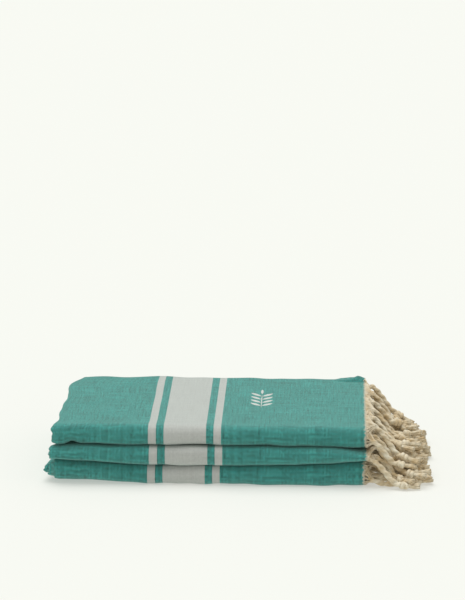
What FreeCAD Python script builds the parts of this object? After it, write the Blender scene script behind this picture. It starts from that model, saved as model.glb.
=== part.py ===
import FreeCAD, Part
import math
import os

from FreeCAD import Vector

# A stack of three flat-woven cotton bath towels with hand-twisted fringes, in millimetres.
#
# Each towel is one woven sheet. It is folded in half twice along its length, which brings
# both fringed ends together at the right-hand end (+X), and then in half twice across its
# width, which puts the last, outermost fold at the front (-Y). The sheet lies in sixteen
# layers. The origin is the middle of the flat underside that the stack rests on.

# ---- Driving dimensions ----------------------------------------------------------------

CLOTH_LENGTH = 1800.0  # along the warp, without the fringes
CLOTH_WIDTH = 1000.0  # across, from selvedge to selvedge
CLOTH_THICK = 0.9
LAYER_GAP = 0.95  # air between two layers of the folded sheet
LENGTH_FOLD_SETBACK = 6.0  # the inner length fold stops this far short of the cloth's ends
SELVEDGE_STEP = 12.0  # the upper selvedge stops this far short of the lower one at the back

STACK_GAP = 0.6  # between one towel and the next
TOWELS = (  # name, and how far each lies to the right and to the back of the bottom one
    ("bottom", 0.0, 0.0),
    ("middle", 4.0, -3.0),
    ("top", 2.0, 2.0),
)

HEADING_LENGTH = 8.0  # unwoven warp between the cloth's end and the tassels
TASSELS_PER_END = 12
CORD_DIAMETER = 8.0  # the two-ply cord of a tassel
CORD_ROOT_DIAMETER = 6.5  # where the yarns are still gathered flat
CORD_GATHER = 18.0  # length over which the cord reaches its full diameter
CORD_LENGTH = 57.0
KNOT_DIAMETER = 13.5
KNOT_LENGTH = 14.0
KNOT_SHOULDER = 3.0  # length over which the cord swells to the knot, and the knot narrows
TUFT_LENGTH = 20.0
TUFT_NECK_DIAMETER = 6.5
TUFT_DIAMETER = 11.0
LENGTH_SPREAD = 14.0  # the difference between the longest and the shortest cord
PRESSED_SHARE = 0.62  # of its thickness that soft cotton keeps where tassels cross
TASSEL_SPACE = 0.3  # kept between tassels that lie on each other
PLAIN_SHARE = 0.5  # a plain tassel solid's thickness as a share of the real one's

BUNCHES = (105.0, 30.0, -76.0)  # how far back each bunch of tassels gathers, over the floor
BUNCH_DRIFT = -10.0  # a tassel takes the bunch nearest to this far back from its root
BUNCH_REACH = 98.0  # how far out from the cloth the bunches gather
BUNCH_PULL = 0.75  # the share of the way to its bunch that a tassel turns
FAN_BY_LEVEL = 6.0  # how much less each towel's tassels turn than those of the one below
FAN_JITTER = 6.0
TIP_SWING = 20.0  # degrees that a knot and tuft turn aside from their cord, either way
TIP_LEAN = 16.0  # degrees to the back that is added to that
TIP_BEND = 6.0  # length before the knot over which the cord turns to it
SLIDE_TURNS = (-24, -18, -12, -6, 0, 6, 12, 18, 24)  # degrees that a tassel may roll aside by
SLIDE_COST = 0.4  # how far down, in millimetres, it has to get for each degree
CURL = 19.0  # degrees that a cord wanders from its own direction, either way
CURL_LEAN = -14.0  # degrees to the back that is added to that
CURL_WAVE = 2.6  # how much of a wave that makes along the tassel, in radians
CURL_PHASE = 0.8  # how far along that wave a tassel may start, either way
ROOT_TURN = 0.35  # the share of its turn with which a tassel leaves its heading
FIRST_SCATTER = 95  # where the even scatter starts
TIP_RISE = 0.12  # the steepest that a knot and tuft point upwards where they lie on others
LEVEL_START = 3.0  # a cord leaves its heading level for this long
DROOP_RADIUS = 16.0  # of its free bend after that
DROOP_SLOPE = 70.0  # degrees below level that a free cord reaches

MOTIF_THICK = 0.4  # how far the embroidery stands on the cloth
MOTIF_FROM_END = 157.0  # from the cloth's end to the middle of the embroidery
MOTIF_FROM_FRONT = 126.0  # from the front fold's centre to the middle of the embroidery
SPRIG_LENGTH = 88.0
STEM_WIDTH = 1.6
LEAF_LENGTH = 21.0
LEAF_WIDTH = 6.5
LEAF_TILT = 48.0  # degrees between a leaf and the stem
LEAF_CLEAR = 0.6  # between a leaf's tip and the stem
LEAF_PAIRS = 4

# ---- Derived sizes ---------------------------------------------------------------------

LAYERS_IN_PACKET = 4  # layers that the two length folds make
PACKETS = 4  # packets that the two width folds make
PITCH = CLOTH_THICK + LAYER_GAP
PACKET_PITCH = LAYERS_IN_PACKET * PITCH
TOWEL_HEIGHT = PACKETS * PACKET_PITCH - LAYER_GAP
STACK_PITCH = TOWEL_HEIGHT + STACK_GAP

# Along the length: a wide bend and a narrow one at the left, a narrow one at the right.
WIDE_BEND = 1.5 * PITCH
NARROW_BEND = 0.5 * PITCH
LENGTH_RUN = (
    CLOTH_LENGTH - math.pi * (WIDE_BEND + 2 * NARROW_BEND) + 2 * LENGTH_FOLD_SETBACK
) / LAYERS_IN_PACKET
X_LEFT = -LENGTH_RUN / 2
X_END = LENGTH_RUN / 2
X_RIGHT_BEND = X_END - LENGTH_FOLD_SETBACK
X_TASSEL = X_END + HEADING_LENGTH

# Across the width: the outer fold at the front, one inner fold at the back, one in front.
OUTER_FOLD = 1.5 * PACKET_PITCH
INNER_FOLD = 0.5 * PACKET_PITCH
WIDTH_RUN = (CLOTH_WIDTH - math.pi * (OUTER_FOLD + 2 * INNER_FOLD)) / PACKETS
Y_FRONT = -WIDTH_RUN / 2
Y_BACK = WIDTH_RUN / 2
TOP_RUN = WIDTH_RUN - SELVEDGE_STEP / 2
THIRD_RUN = WIDTH_RUN + SELVEDGE_STEP / 2

TASSEL_STEP = 3.0  # between the points at which a lying tassel is tested
TRIAL_PASSES = 4  # of smoothing, while a tassel tries the directions it may roll to
STIFF_PASSES = 30  # of smoothing, once it lies
CELL = KNOT_DIAMETER + TASSEL_SPACE  # no two tassels touch from further apart
RUNS_IN_CORD = 8  # after its level start


# ---- The folded sheet ------------------------------------------------------------------


def packet_height(number):
    """The height of a packet's middle above the towel's underside, 1 at the bottom."""
    return (number - 0.5) * PACKET_PITCH - LAYER_GAP / 2


def width_path():
    """The sheet's way across its width, from the top selvedge to the hidden one.

    Each part is (length, start (y, z), direction (y, z), centre of the bend or None,
    turn in degrees about +X).
    """
    fold_height = (packet_height(1) + packet_height(4)) / 2
    return (
        (TOP_RUN, (Y_FRONT + TOP_RUN, packet_height(4)), (-1, 0), None, 0),
        (
            math.pi * OUTER_FOLD,
            (Y_FRONT, packet_height(4)),
            (-1, 0),
            (Y_FRONT, fold_height),
            180,
        ),
        (WIDTH_RUN, (Y_FRONT, packet_height(1)), (1, 0), None, 0),
        (
            math.pi * INNER_FOLD,
            (Y_BACK, packet_height(1)),
            (1, 0),
            (Y_BACK, (packet_height(1) + packet_height(2)) / 2),
            180,
        ),
        (WIDTH_RUN, (Y_BACK, packet_height(2)), (-1, 0), None, 0),
        (
            math.pi * INNER_FOLD,
            (Y_FRONT, packet_height(2)),
            (-1, 0),
            (Y_FRONT, fold_height),
            -180,
        ),
        (THIRD_RUN, (Y_FRONT, packet_height(3)), (1, 0), None, 0),
    )


def along_width(profile):
    """One solid: a flat profile carried along the sheet's way across its width.

    profile makes a face from a function that turns (x, height off the packet's middle
    towards the sheet's outer side) into a point.
    """
    solids = []
    for length, start, direction, centre, turn in width_path():
        outward = (direction[1], -direction[0])

        def place(x, off, start=start, outward=outward):
            return Vector(x, start[0] + off * outward[0], start[1] + off * outward[1])

        face = profile(place)
        if centre is None:
            solids.append(
                face.extrude(Vector(0, direction[0] * length, direction[1] * length))
            )
        else:
            axis_point = Vector(0, centre[0], centre[1])
            solids.append(face.revolve(axis_point, Vector(1, 0, 0), turn))
    joined = solids[0].fuse(solids[1:])
    return joined.removeSplitter().Solids[0]


def ribbon_profile(place):
    """The sheet's cut edge seen along its width: four layers with their three bends."""
    half = CLOTH_THICK / 2
    edges = []

    def line(a, b):
        edges.append(Part.LineSegment(place(*a), place(*b)).toShape())

    def bend(x, middle, radius, side, first, last):
        """A half turn about (x, middle), out to the left (side -1) or the right (+1)."""
        edges.append(
            Part.Arc(
                place(x, middle + first * radius),
                place(x + side * radius, middle),
                place(x, middle + last * radius),
            ).toShape()
        )

    wide, narrow = WIDE_BEND, NARROW_BEND
    line((X_END, wide + half), (X_LEFT, wide + half))
    bend(X_LEFT, 0, wide + half, -1, 1, -1)
    line((X_LEFT, -wide - half), (X_RIGHT_BEND, -wide - half))
    bend(X_RIGHT_BEND, -PITCH, narrow + half, 1, -1, 1)
    line((X_RIGHT_BEND, -narrow + half), (X_LEFT, -narrow + half))
    bend(X_LEFT, 0, narrow - half, -1, -1, 1)
    line((X_LEFT, narrow - half), (X_END, narrow - half))
    line((X_END, narrow - half), (X_END, narrow + half))
    line((X_END, narrow + half), (X_LEFT, narrow + half))
    bend(X_LEFT, 0, narrow + half, -1, 1, -1)
    line((X_LEFT, -narrow - half), (X_RIGHT_BEND, -narrow - half))
    bend(X_RIGHT_BEND, -PITCH, narrow - half, 1, 1, -1)
    line((X_RIGHT_BEND, -wide + half), (X_LEFT, -wide + half))
    bend(X_LEFT, 0, wide - half, -1, -1, 1)
    line((X_LEFT, wide - half), (X_END, wide - half))
    line((X_END, wide - half), (X_END, wide + half))
    return Part.Face(Part.Wire(edges))


def heading_profile(off):
    """The cut edge of one end's unwoven warp, which carries on from its layer."""

    def profile(place):
        half = CLOTH_THICK / 2
        corners = [
            place(X_END, off - half),
            place(X_TASSEL, off - half),
            place(X_TASSEL, off + half),
            place(X_END, off + half),
        ]
        return Part.Face(Part.makePolygon(corners + corners[:1]))

    return profile


ENDS = {"end_a": WIDE_BEND, "end_b": NARROW_BEND}  # each end's layer in its packet


# ---- Where the tassels start -----------------------------------------------------------


def on_width_path(along, off):
    """Where the layer at off is at a distance along the sheet's way: (part's number, y, z)."""
    for number, (length, start, direction, centre, turn) in enumerate(width_path()):
        if along <= length:
            break
        along -= length
    if centre is None:
        height = start[1] - direction[0] * off
        return number, start[0] + direction[0] * along, height
    angle = math.radians(turn * along / length)
    radius = start[1] - centre[1]
    radius += math.copysign(off, radius * turn)
    return number, centre[0] - math.sin(angle) * radius, centre[1] + math.cos(angle) * radius


def tassel_roots():
    """Every tassel of one towel: (end, quarter of the width, y, z), y and z of its root.

    Tassels that start from the same side of the pad push each other to even spaces. A cord
    is thicker than its layer, so the outermost ones settle just inside the pad.
    """
    spacing = CLOTH_WIDTH / TASSELS_PER_END
    margin = CORD_DIAMETER / 2 * PLAIN_SHARE + STACK_GAP / 4
    sides = ("top", "front", "bottom", "bottom", "middle", "middle", "middle")
    rows = {"bottom": [], "front": [], "middle": [], "top": []}
    for end, off in ENDS.items():
        shift = 0.5 if end == "end_a" else 1.0
        for j in range(TASSELS_PER_END):
            along = ((j + shift) * spacing) % CLOTH_WIDTH
            quarter = 1 + int(along * PACKETS / CLOTH_WIDTH)
            part, y, z = on_width_path(along, off)
            z = min(max(z, margin), TOWEL_HEIGHT - margin)
            rows[sides[part]].append([end, quarter, y, z])
    for row in ("bottom", "middle", "top"):
        rows[row].sort(key=lambda tassel: tassel[2])
        for rank, tassel in enumerate(rows[row]):
            tassel[2] = Y_FRONT + (rank + 0.5) / len(rows[row]) * TOP_RUN
    return rows["bottom"] + rows["front"] + rows["middle"] + rows["top"]


# ---- How the tassels lie ---------------------------------------------------------------


def scatter(number, step):
    """An even scatter from -1 to 1 for whole numbers: the fraction of number times step."""
    return 2 * ((number * step) % 1.0) - 1


def between(x, xs, ys):
    """The value at x on the line through the points (xs, ys), level beyond its ends."""
    if x <= xs[0]:
        return ys[0]
    for k in range(1, len(xs)):
        if x <= xs[k]:
            share = (x - xs[k - 1]) / (xs[k] - xs[k - 1])
            return ys[k - 1] + share * (ys[k] - ys[k - 1])
    return ys[-1]


def tassel_radius(along, cord):
    """A tassel's half thickness at a distance along it, for a cord of that length."""
    knot_end = cord + KNOT_LENGTH
    stations = (0, CORD_GATHER, cord, cord + KNOT_SHOULDER, knot_end - KNOT_SHOULDER)
    stations += (knot_end, knot_end + TUFT_LENGTH)
    diameters = (CORD_ROOT_DIAMETER, CORD_DIAMETER, CORD_DIAMETER, KNOT_DIAMETER)
    diameters += (KNOT_DIAMETER, TUFT_NECK_DIAMETER, TUFT_DIAMETER)
    return between(along, stations, diameters) / 2


def pressed_radius(along, cord):
    return tassel_radius(along, cord) * PRESSED_SHARE


def cell(x, y):
    return (int(x // CELL), int(y // CELL))


def lowest_height(x, y, radius, lying):
    """The lowest centre height that clears the floor and the tassels that already lie there.

    Two round cords touch where their centres are the sum of their radii apart. lying holds
    (x, y, z, radius) by the CELL-wide square of the floor it is over.
    """
    lowest = radius
    column, row = cell(x, y)
    for i in (column - 1, column, column + 1):
        for j in (row - 1, row, row + 1):
            for px, py, pz, pr in lying.get((i, j), ()):
                reach = radius + pr + TASSEL_SPACE
                flat = (x - px) ** 2 + (y - py) ** 2
                if flat < reach * reach:
                    lowest = max(lowest, pz + math.sqrt(reach * reach - flat))
    return lowest


def free_drop(level):
    """How far a cord has dropped at a level distance from where its free bend starts."""
    level = max(level, 0)
    steepest = math.radians(DROOP_SLOPE)
    bend_end = DROOP_RADIUS * math.sin(steepest)
    rounded = DROOP_RADIUS - math.sqrt(DROOP_RADIUS**2 - min(level, bend_end) ** 2)
    return rounded + max(level - bend_end, 0) * math.tan(steepest)


def lie_down(root, turn, curl, phase, cord, tip, lying, smoothing):
    """The points of one tassel as it lies on the floor and on the tassels below it.

    It leaves level, bends down freely and then follows what holds it up.
    Smoothing stands for the cord's stiffness. The knot and tuft stay straight.
    """
    whole = cord + KNOT_LENGTH + TUFT_LENGTH
    count = int(whole / TASSEL_STEP) + 2
    x, y = [root[0]], [root[1]]
    for k in range(count - 1):
        bent = min(k * TASSEL_STEP, cord)
        angle = turn + curl * math.sin(CURL_WAVE * bent / whole + phase)
        angle += tip * min(1, max(0, (k * TASSEL_STEP - cord) / TIP_BEND + 1))
        angle = math.radians(angle * min(1, ROOT_TURN + bent / CORD_GATHER))
        x.append(x[-1] + math.cos(angle) * TASSEL_STEP)
        y.append(y[-1] + math.sin(angle) * TASSEL_STEP)
    free = [root[2] - free_drop(k * TASSEL_STEP - LEVEL_START) for k in range(count)]
    held = int(LEVEL_START / TASSEL_STEP) + 1
    along = [k * TASSEL_STEP for k in range(count)]
    for _ in range(2):
        lowest = [
            lowest_height(x[k], y[k], pressed_radius(along[k], cord), lying)
            for k in range(count)
        ]
        z = [root[2]] * held
        z += [max(f, low) for f, low in zip(free[held:], lowest[held:])]
        for _ in range(smoothing):
            mean = [(z[k - 1] + 2 * z[k] + z[k + 1]) / 4 for k in range(held, count - 1)]
            z[held:-1] = [max(m, low) for m, low in zip(mean, lowest[held:-1])]
        knot = max(k for k in range(count) if along[k] <= cord)
        slope = max((lowest[k] - z[knot]) / (k - knot) for k in range(knot + 1, count))
        slope = max(-TASSEL_STEP, min(TIP_RISE * TASSEL_STEP, slope))
        raised = max(lowest[k] - z[knot] - slope * (k - knot) for k in range(knot, count))
        for k in range(held, knot):
            z[k] += raised * ((k - held) / (knot - held)) ** 2
        start = z[knot] + raised
        for k in range(knot, count):
            z[k] = start + slope * (k - knot)
        along = [0.0]
        for k in range(1, count):
            along.append(along[-1] + math.hypot(TASSEL_STEP, z[k] - z[k - 1]))
    marks = [k * TASSEL_STEP for k in range(int(whole / TASSEL_STEP) + 1)] + [whole]
    line = [tuple(between(m, along, c) for c in (x, y, z)) for m in marks]
    return line, marks


def lay_tassel(root, turn, number, lying):
    """One tassel that has rolled aside to whichever of SLIDE_TURNS lets it lie lowest."""
    turn += FAN_JITTER * scatter(number, 0.6180339)
    curl = CURL * scatter(number, 0.7548777) + CURL_LEAN
    tip = TIP_SWING * scatter(number, 0.2360680) + TIP_LEAN
    phase = CURL_PHASE * scatter(number, 0.5698403)
    cord = CORD_LENGTH + LENGTH_SPREAD / 2 * scatter(number, 0.3819660)
    best, best_turn = None, turn
    for slide in SLIDE_TURNS:
        line, marks = lie_down(root, turn + slide, curl, phase, cord, tip, lying, TRIAL_PASSES)
        heights = [point[2] for point, mark in zip(line, marks) if mark > cord]
        cost = sum(heights) / len(heights) + SLIDE_COST * abs(slide)
        if best is None or cost < best:
            best, best_turn = cost, turn + slide
    line, marks = lie_down(root, best_turn, curl, phase, cord, tip, lying, STIFF_PASSES)
    return line, marks, cord


def all_tassels():
    """Every tassel of the stack, laid from the bottom towel up: a dictionary of
    (towel, end, quarter) to a list of (line, distances along it, cord length)."""
    laid = {}
    lying = {}
    number = FIRST_SCATTER
    for level, (towel, right, back) in enumerate(TOWELS):
        for end, quarter, y, z in tassel_roots():
            number += 1
            bunch = min(BUNCHES, key=lambda b: abs(b - y - BUNCH_DRIFT))
            turn = math.degrees(math.atan2(bunch - y, BUNCH_REACH)) * BUNCH_PULL
            turn += FAN_BY_LEVEL * (level - 1)
            root = (X_TASSEL + right, y + back, z + level * STACK_PITCH)
            line, marks, cord = lay_tassel(root, turn, number, lying)
            for (px, py, pz), mark in zip(line, marks):
                radius = pressed_radius(mark, cord)
                lying.setdefault(cell(px, py), []).append((px, py, pz, radius))
            laid.setdefault((towel, end, quarter), []).append((line, marks, cord))
    return laid


# ---- The tassels' plain solids ---------------------------------------------------------


def ring_across(ring, direction, point, normal):
    """A ring's corners carried along direction onto the plane through point."""
    return [c + direction * ((point - c).dot(normal) / direction.dot(normal)) for c in ring]


def scaled_ring(ring, centre, share):
    return [centre + (c - centre) * share for c in ring]


def tassel_solid(line, marks, cord):
    """A six-sided cord in mitred straight runs, with a knot and a flared tuft at its end."""
    run = (cord - LEVEL_START) / RUNS_IN_CORD
    stations = [0] + [LEVEL_START + run * k for k in range(RUNS_IN_CORD + 1)] + [marks[-1]]
    points = [
        Vector(*[between(s, marks, [point[k] for point in line]) for k in range(3)])
        for s in stations
    ]
    runs = [(b - a).normalize() for a, b in zip(points, points[1:])]
    radius = CORD_DIAMETER / 2 * PLAIN_SHARE
    side = Vector(0, 0, 1).cross(runs[0]).normalize()
    up = runs[0].cross(side)
    ring = []
    for corner in range(6):
        turn = math.radians(60 * corner)
        ring.append(points[0] + side * (radius * math.cos(turn)) + up * (radius * math.sin(turn)))
    rings = [ring_across(ring, runs[0], points[0], Vector(1, 0, 0))]
    for k in range(1, len(points) - 1):
        normal = (runs[k - 1] + runs[k]).normalize()
        rings.append(ring_across(rings[-1], runs[k - 1], points[k], normal))
    away = runs[-1]
    start = points[-2]
    stations = (
        (KNOT_SHOULDER / 2, CORD_DIAMETER),
        (KNOT_SHOULDER * 1.5, KNOT_DIAMETER),
        (KNOT_LENGTH - KNOT_SHOULDER, KNOT_DIAMETER),
        (KNOT_LENGTH, TUFT_NECK_DIAMETER),
        (KNOT_LENGTH + TUFT_LENGTH, TUFT_DIAMETER),
    )
    base = ring_across(rings[-1], away, start + away * stations[0][0], away)
    for distance, diameter in stations:
        centre = start + away * distance
        moved = [c + away * (distance - stations[0][0]) for c in base]
        rings.append(scaled_ring(moved, centre, diameter / CORD_DIAMETER))
    faces = [Part.Face(Part.makePolygon(rings[0] + rings[0][:1]))]
    faces.append(Part.Face(Part.makePolygon(rings[-1] + rings[-1][:1])))
    for low, high in zip(rings, rings[1:]):
        for a in range(6):
            b = (a + 1) % 6
            corners = [low[a], low[b], high[b], high[a], low[a]]
            faces.append(Part.Face(Part.makePolygon(corners)))
    solid = Part.makeSolid(Part.makeShell(faces))
    if solid.Volume < 0:
        solid.reverse()
    return solid


# ---- The embroidery --------------------------------------------------------------------


def leaf(tilt, root):
    """A pointed leaf of two arcs, lying flat, with its base at root."""
    middle = LEAF_LENGTH / 2
    edge = Part.Arc(
        Vector(0, 0, 0), Vector(LEAF_WIDTH / 2, middle, 0), Vector(0, LEAF_LENGTH, 0)
    ).toShape()
    other = Part.Arc(
        Vector(0, LEAF_LENGTH, 0), Vector(-LEAF_WIDTH / 2, middle, 0), Vector(0, 0, 0)
    ).toShape()
    shape = Part.Face(Part.Wire([edge, other])).extrude(Vector(0, 0, MOTIF_THICK))
    shape.rotate(Vector(0, 0, 0), Vector(0, 0, 1), -tilt)
    shape.translate(root)
    return shape


def sprig():
    """A leafy sprig in raised thread: a stem, pairs of leaves and one leaf at its tip."""
    stem_length = SPRIG_LENGTH - LEAF_LENGTH - LEAF_CLEAR
    stem = Part.makeBox(STEM_WIDTH, stem_length, MOTIF_THICK, Vector(-STEM_WIDTH / 2, 0, 0))
    pieces = [stem, leaf(0, Vector(0, stem_length + LEAF_CLEAR, 0))]
    beside = STEM_WIDTH / 2 + LEAF_CLEAR
    for pair in range(LEAF_PAIRS):
        height = stem_length * (pair + 0.7) / (LEAF_PAIRS + 0.4)
        for side in (-1, 1):
            pieces.append(leaf(side * LEAF_TILT, Vector(side * beside, height, 0)))
    motif = Part.makeCompound(pieces)
    motif.translate(
        Vector(X_END - MOTIF_FROM_END, Y_FRONT + MOTIF_FROM_FRONT - SPRIG_LENGTH / 2, 0)
    )
    return motif


# ---- The stack -------------------------------------------------------------------------


def save(name, shape, move):
    shape = shape.copy()
    shape.translate(move)
    shape.exportStep(f"parts/{name}.step")


def main():
    os.makedirs("parts", exist_ok=True)
    cloth = along_width(ribbon_profile)
    headings = {end: along_width(heading_profile(off)) for end, off in ENDS.items()}
    motif = sprig()
    for level, (towel, right, back) in enumerate(TOWELS):
        base = Vector(right, back, level * STACK_PITCH)
        save(f"{towel}_towel_cloth", cloth, base)
        for end, heading in headings.items():
            save(f"{towel}_towel_{end}_heading", heading, base)
        save(f"{towel}_towel_embroidery", motif, base + Vector(0, 0, TOWEL_HEIGHT))
    for (towel, end, quarter), tassels in all_tassels().items():
        solids = Part.makeCompound([tassel_solid(*tassel) for tassel in tassels])
        save(f"{towel}_towel_{end}_tassels_{quarter}", solids, Vector(0, 0, 0))


main()
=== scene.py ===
import math

import bpy
import numpy as np
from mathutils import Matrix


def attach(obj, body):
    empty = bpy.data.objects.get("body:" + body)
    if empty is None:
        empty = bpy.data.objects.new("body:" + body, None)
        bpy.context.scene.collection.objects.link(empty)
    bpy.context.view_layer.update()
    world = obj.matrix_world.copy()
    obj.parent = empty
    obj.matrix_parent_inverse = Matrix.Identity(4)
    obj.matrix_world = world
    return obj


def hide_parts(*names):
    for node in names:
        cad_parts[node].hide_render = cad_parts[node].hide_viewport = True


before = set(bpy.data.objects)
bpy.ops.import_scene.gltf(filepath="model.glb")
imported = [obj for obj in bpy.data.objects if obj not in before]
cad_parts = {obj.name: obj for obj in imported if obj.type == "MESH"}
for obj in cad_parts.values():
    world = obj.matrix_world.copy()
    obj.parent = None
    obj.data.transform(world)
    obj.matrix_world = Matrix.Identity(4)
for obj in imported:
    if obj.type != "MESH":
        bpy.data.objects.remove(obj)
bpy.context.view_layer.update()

# ---- The folded cloths -----------------------------------------------------------------
# Each towel is one plain-woven cotton sheet with an undyed warp and a teal weft, and a band
# of off-white weft near each end. It is folded twice along its length and twice across its
# width, with the last fold at the front. Nothing holds the folds but the cloth's own weight.

TOWELS = ("bottom", "middle", "top")
CLOTH_WIDTH = 1.0  # lengths are in metres
CLOTH_LENGTH = 1.8
CLOTH_THICK = 0.0009
LAYER_GAP = 0.00095  # air between two layers
LENGTH_FOLD_SETBACK = 0.006  # how far the inner fold at the right end stops short of it
SELVEDGE_STEP = 0.012  # how much further back the lower selvedge lies than the upper
STACK_GAP = 0.0006
TOWEL_OFFSETS = ((0.0, 0.0), (0.004, -0.003), (0.002, 0.002))  # right and back

PITCH = CLOTH_THICK + LAYER_GAP
PACKET_PITCH = 4 * PITCH
TOWEL_HEIGHT = 4 * PACKET_PITCH - LAYER_GAP
STACK_PITCH = TOWEL_HEIGHT + STACK_GAP
WIDE_BEND, NARROW_BEND = 1.5 * PITCH, 0.5 * PITCH
OUTER_FOLD, INNER_FOLD = 1.5 * PACKET_PITCH, 0.5 * PACKET_PITCH
LENGTH_RUN = (
    CLOTH_LENGTH - math.pi * (WIDE_BEND + 2 * NARROW_BEND) + 2 * LENGTH_FOLD_SETBACK
) / 4
WIDTH_RUN = (CLOTH_WIDTH - math.pi * (OUTER_FOLD + 2 * INNER_FOLD)) / 4
X_LEFT, X_END = -LENGTH_RUN / 2, LENGTH_RUN / 2
Y_FRONT = -WIDTH_RUN / 2
TOP_RUN = WIDTH_RUN - SELVEDGE_STEP / 2
HALF_HEIGHT = TOWEL_HEIGHT / 2

# Each part of a way is its length and its bend's radius. A start is a place and a heading.
LENGTH_START = (X_END, WIDE_BEND, math.pi)
LENGTH_WAY = (
    (LENGTH_RUN, 0),
    (math.pi * WIDE_BEND, WIDE_BEND),
    (LENGTH_RUN - LENGTH_FOLD_SETBACK, 0),
    (math.pi * NARROW_BEND, NARROW_BEND),
    (LENGTH_RUN - LENGTH_FOLD_SETBACK, 0),
    (math.pi * NARROW_BEND, -NARROW_BEND),
    (LENGTH_RUN, 0),
)
WIDTH_START = (Y_FRONT + TOP_RUN, 3.5 * PACKET_PITCH - LAYER_GAP / 2, math.pi)
WIDTH_WAY = (
    (TOP_RUN, 0),
    (math.pi * OUTER_FOLD, OUTER_FOLD),
    (WIDTH_RUN, 0),
    (math.pi * INNER_FOLD, INNER_FOLD),
    (WIDTH_RUN, 0),
    (math.pi * INNER_FOLD, -INNER_FOLD),
    (WIDTH_RUN + SELVEDGE_STEP / 2, 0),
)


def moved(start, radius, gone):
    """The place and heading after a distance from start: straight on, or round a bend.

    A straight run adds distance times heading. On a bend the heading turns by distance over
    radius, and the place goes round the bend's centre by as much.
    """
    x, y, heading = start
    if not radius:
        return x + gone * math.cos(heading), y + gone * math.sin(heading), heading + 0 * gone
    turned = heading + gone / radius
    across = x + radius * (np.sin(turned) - math.sin(heading))
    return across, y - radius * (np.cos(turned) - math.cos(heading)), turned


def way(parts, start, distance):
    """A path of straight runs and round bends in a plane, at the given distances along it.

    A radius of 0 is a straight run, and one below 0 is a bend to the right. The result is the
    place and the heading there.
    """
    place, done = np.zeros((3, *distance.shape)), 0.0
    for length, radius in parts:
        place = np.where(distance >= done, moved(start, radius, distance - done), place)
        start, done = moved(start, radius, length), done + length
    return place


def ramp(value, low, high):
    """0 below low and 1 above high, with a smooth rise between: 3 t squared less 2 t cubed."""
    share = np.clip((value - low) / (high - low), 0, 1)
    return share * share * (3 - 2 * share)


def swell(value, centre, width):
    """A bell-shaped rise of 1 at centre, which falls away over width."""
    return np.exp(-(((value - centre) / width) ** 2))


def waves(a, b, size, seed, count=7):
    """An even unrest from about -1 to 1 over (a, b): sine waves of about the given length in
    random directions, which the seed picks, added and divided by the root of their number."""
    random = np.random.default_rng(seed)
    total = np.zeros(np.broadcast(a, b).shape)
    for _ in range(count):
        direction = random.uniform(0, math.pi)
        length = size * random.uniform(0.6, 1.7)
        phase = random.uniform(0, 2 * math.pi)
        run = a * math.cos(direction) + b * math.sin(direction)
        total += np.sin(2 * math.pi * run / length + phase)
    return total / math.sqrt(count)


def seam_height(number, x, y):
    """The height of the seam under towel number 0, 1 or 2, or of the top at number 3.

    Each seam is level but for a slow unrest and for named rises and dips, each of them a height
    times a ramp or a swell along the towel. The middle towel is squeezed thin where the fringes
    above and below lift and press the pile.
    """
    near_front = ramp(-y, -0.1, 0.1)
    if number == 0:
        left_rise = 0.0046 * ramp(-x, 0.08, 0.20)
        return left_rise * near_front
    left_fold = swell(x, X_LEFT - 0.004, 0.035)
    right_end = ramp(x, 0.1, X_END) ** 1.5
    unrest = 0.0003 * waves(x, y, 0.16, 40 + number)
    less_behind = 0.4 + 0.6 * near_front
    if number == 1:
        left_rise = 0.0026 * left_fold + 0.0050 * ramp(-x, 0.09, 0.20)
        right_rise = 0.0020 * ramp(x, 0.02, 0.13) + 0.0050 * right_end
        middle_rise = 0.0010 - 0.0010 * swell(x, -0.08, 0.05)
        change = left_rise + right_rise + middle_rise
        return STACK_PITCH - 0.0009 + change * less_behind + unrest
    if number == 2:
        left_dip = 0.0016 * left_fold + 0.0018 * swell(x, -0.12, 0.10)
        right_dip = 0.0022 * right_end
        return 2 * STACK_PITCH + 0.0009 - (left_dip + right_dip) * less_behind + unrest
    back_rise = 0.0022 + 0.0012 * ramp(y, -0.1, 0.1)
    back_ridge = 0.0018 * swell(x, -0.09, 0.025) * ramp(y, 0.06, 0.11)
    corner_dip = 0.0020 * ramp(-x, 0.18, 0.225) * ramp(y, 0.05, 0.115)
    change = back_rise + back_ridge - corner_dip - 0.0010 * right_end
    return 3 * STACK_PITCH - STACK_GAP + change + unrest


FOLD_POWER = 2.3  # 2 is a round fold
# Shifts to the right, of a towel's left end, of the end of its front fold, and how much more
# of its inner packets there. Below 0 they stand out.
LEFT_SHIFT = -0.0015
FRONT_SHIFT = (-0.0050, -0.0155, -0.0095)
INNER_SHIFT = (-0.0185, -0.0020, -0.0010)
LEFT_UNREST, BACK_UNREST, FRONT_UNREST = 0.0011, 0.0020, 0.0014
CORNER_IN = 0.0175  # how far the top towel's back left corner is pulled in
SELVEDGE_UP, SELVEDGE_BACK = 0.016, 0.008  # how far its hidden selvedge curls
CORNER_UP, CREASE_DEPTH = 0.0080, 0.0035  # its back right corner turns up behind a crease
PINCH_BELOW, PINCH_ABOVE = 0.0036, 0.0050  # how far the middle towel's right end is pinched


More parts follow.
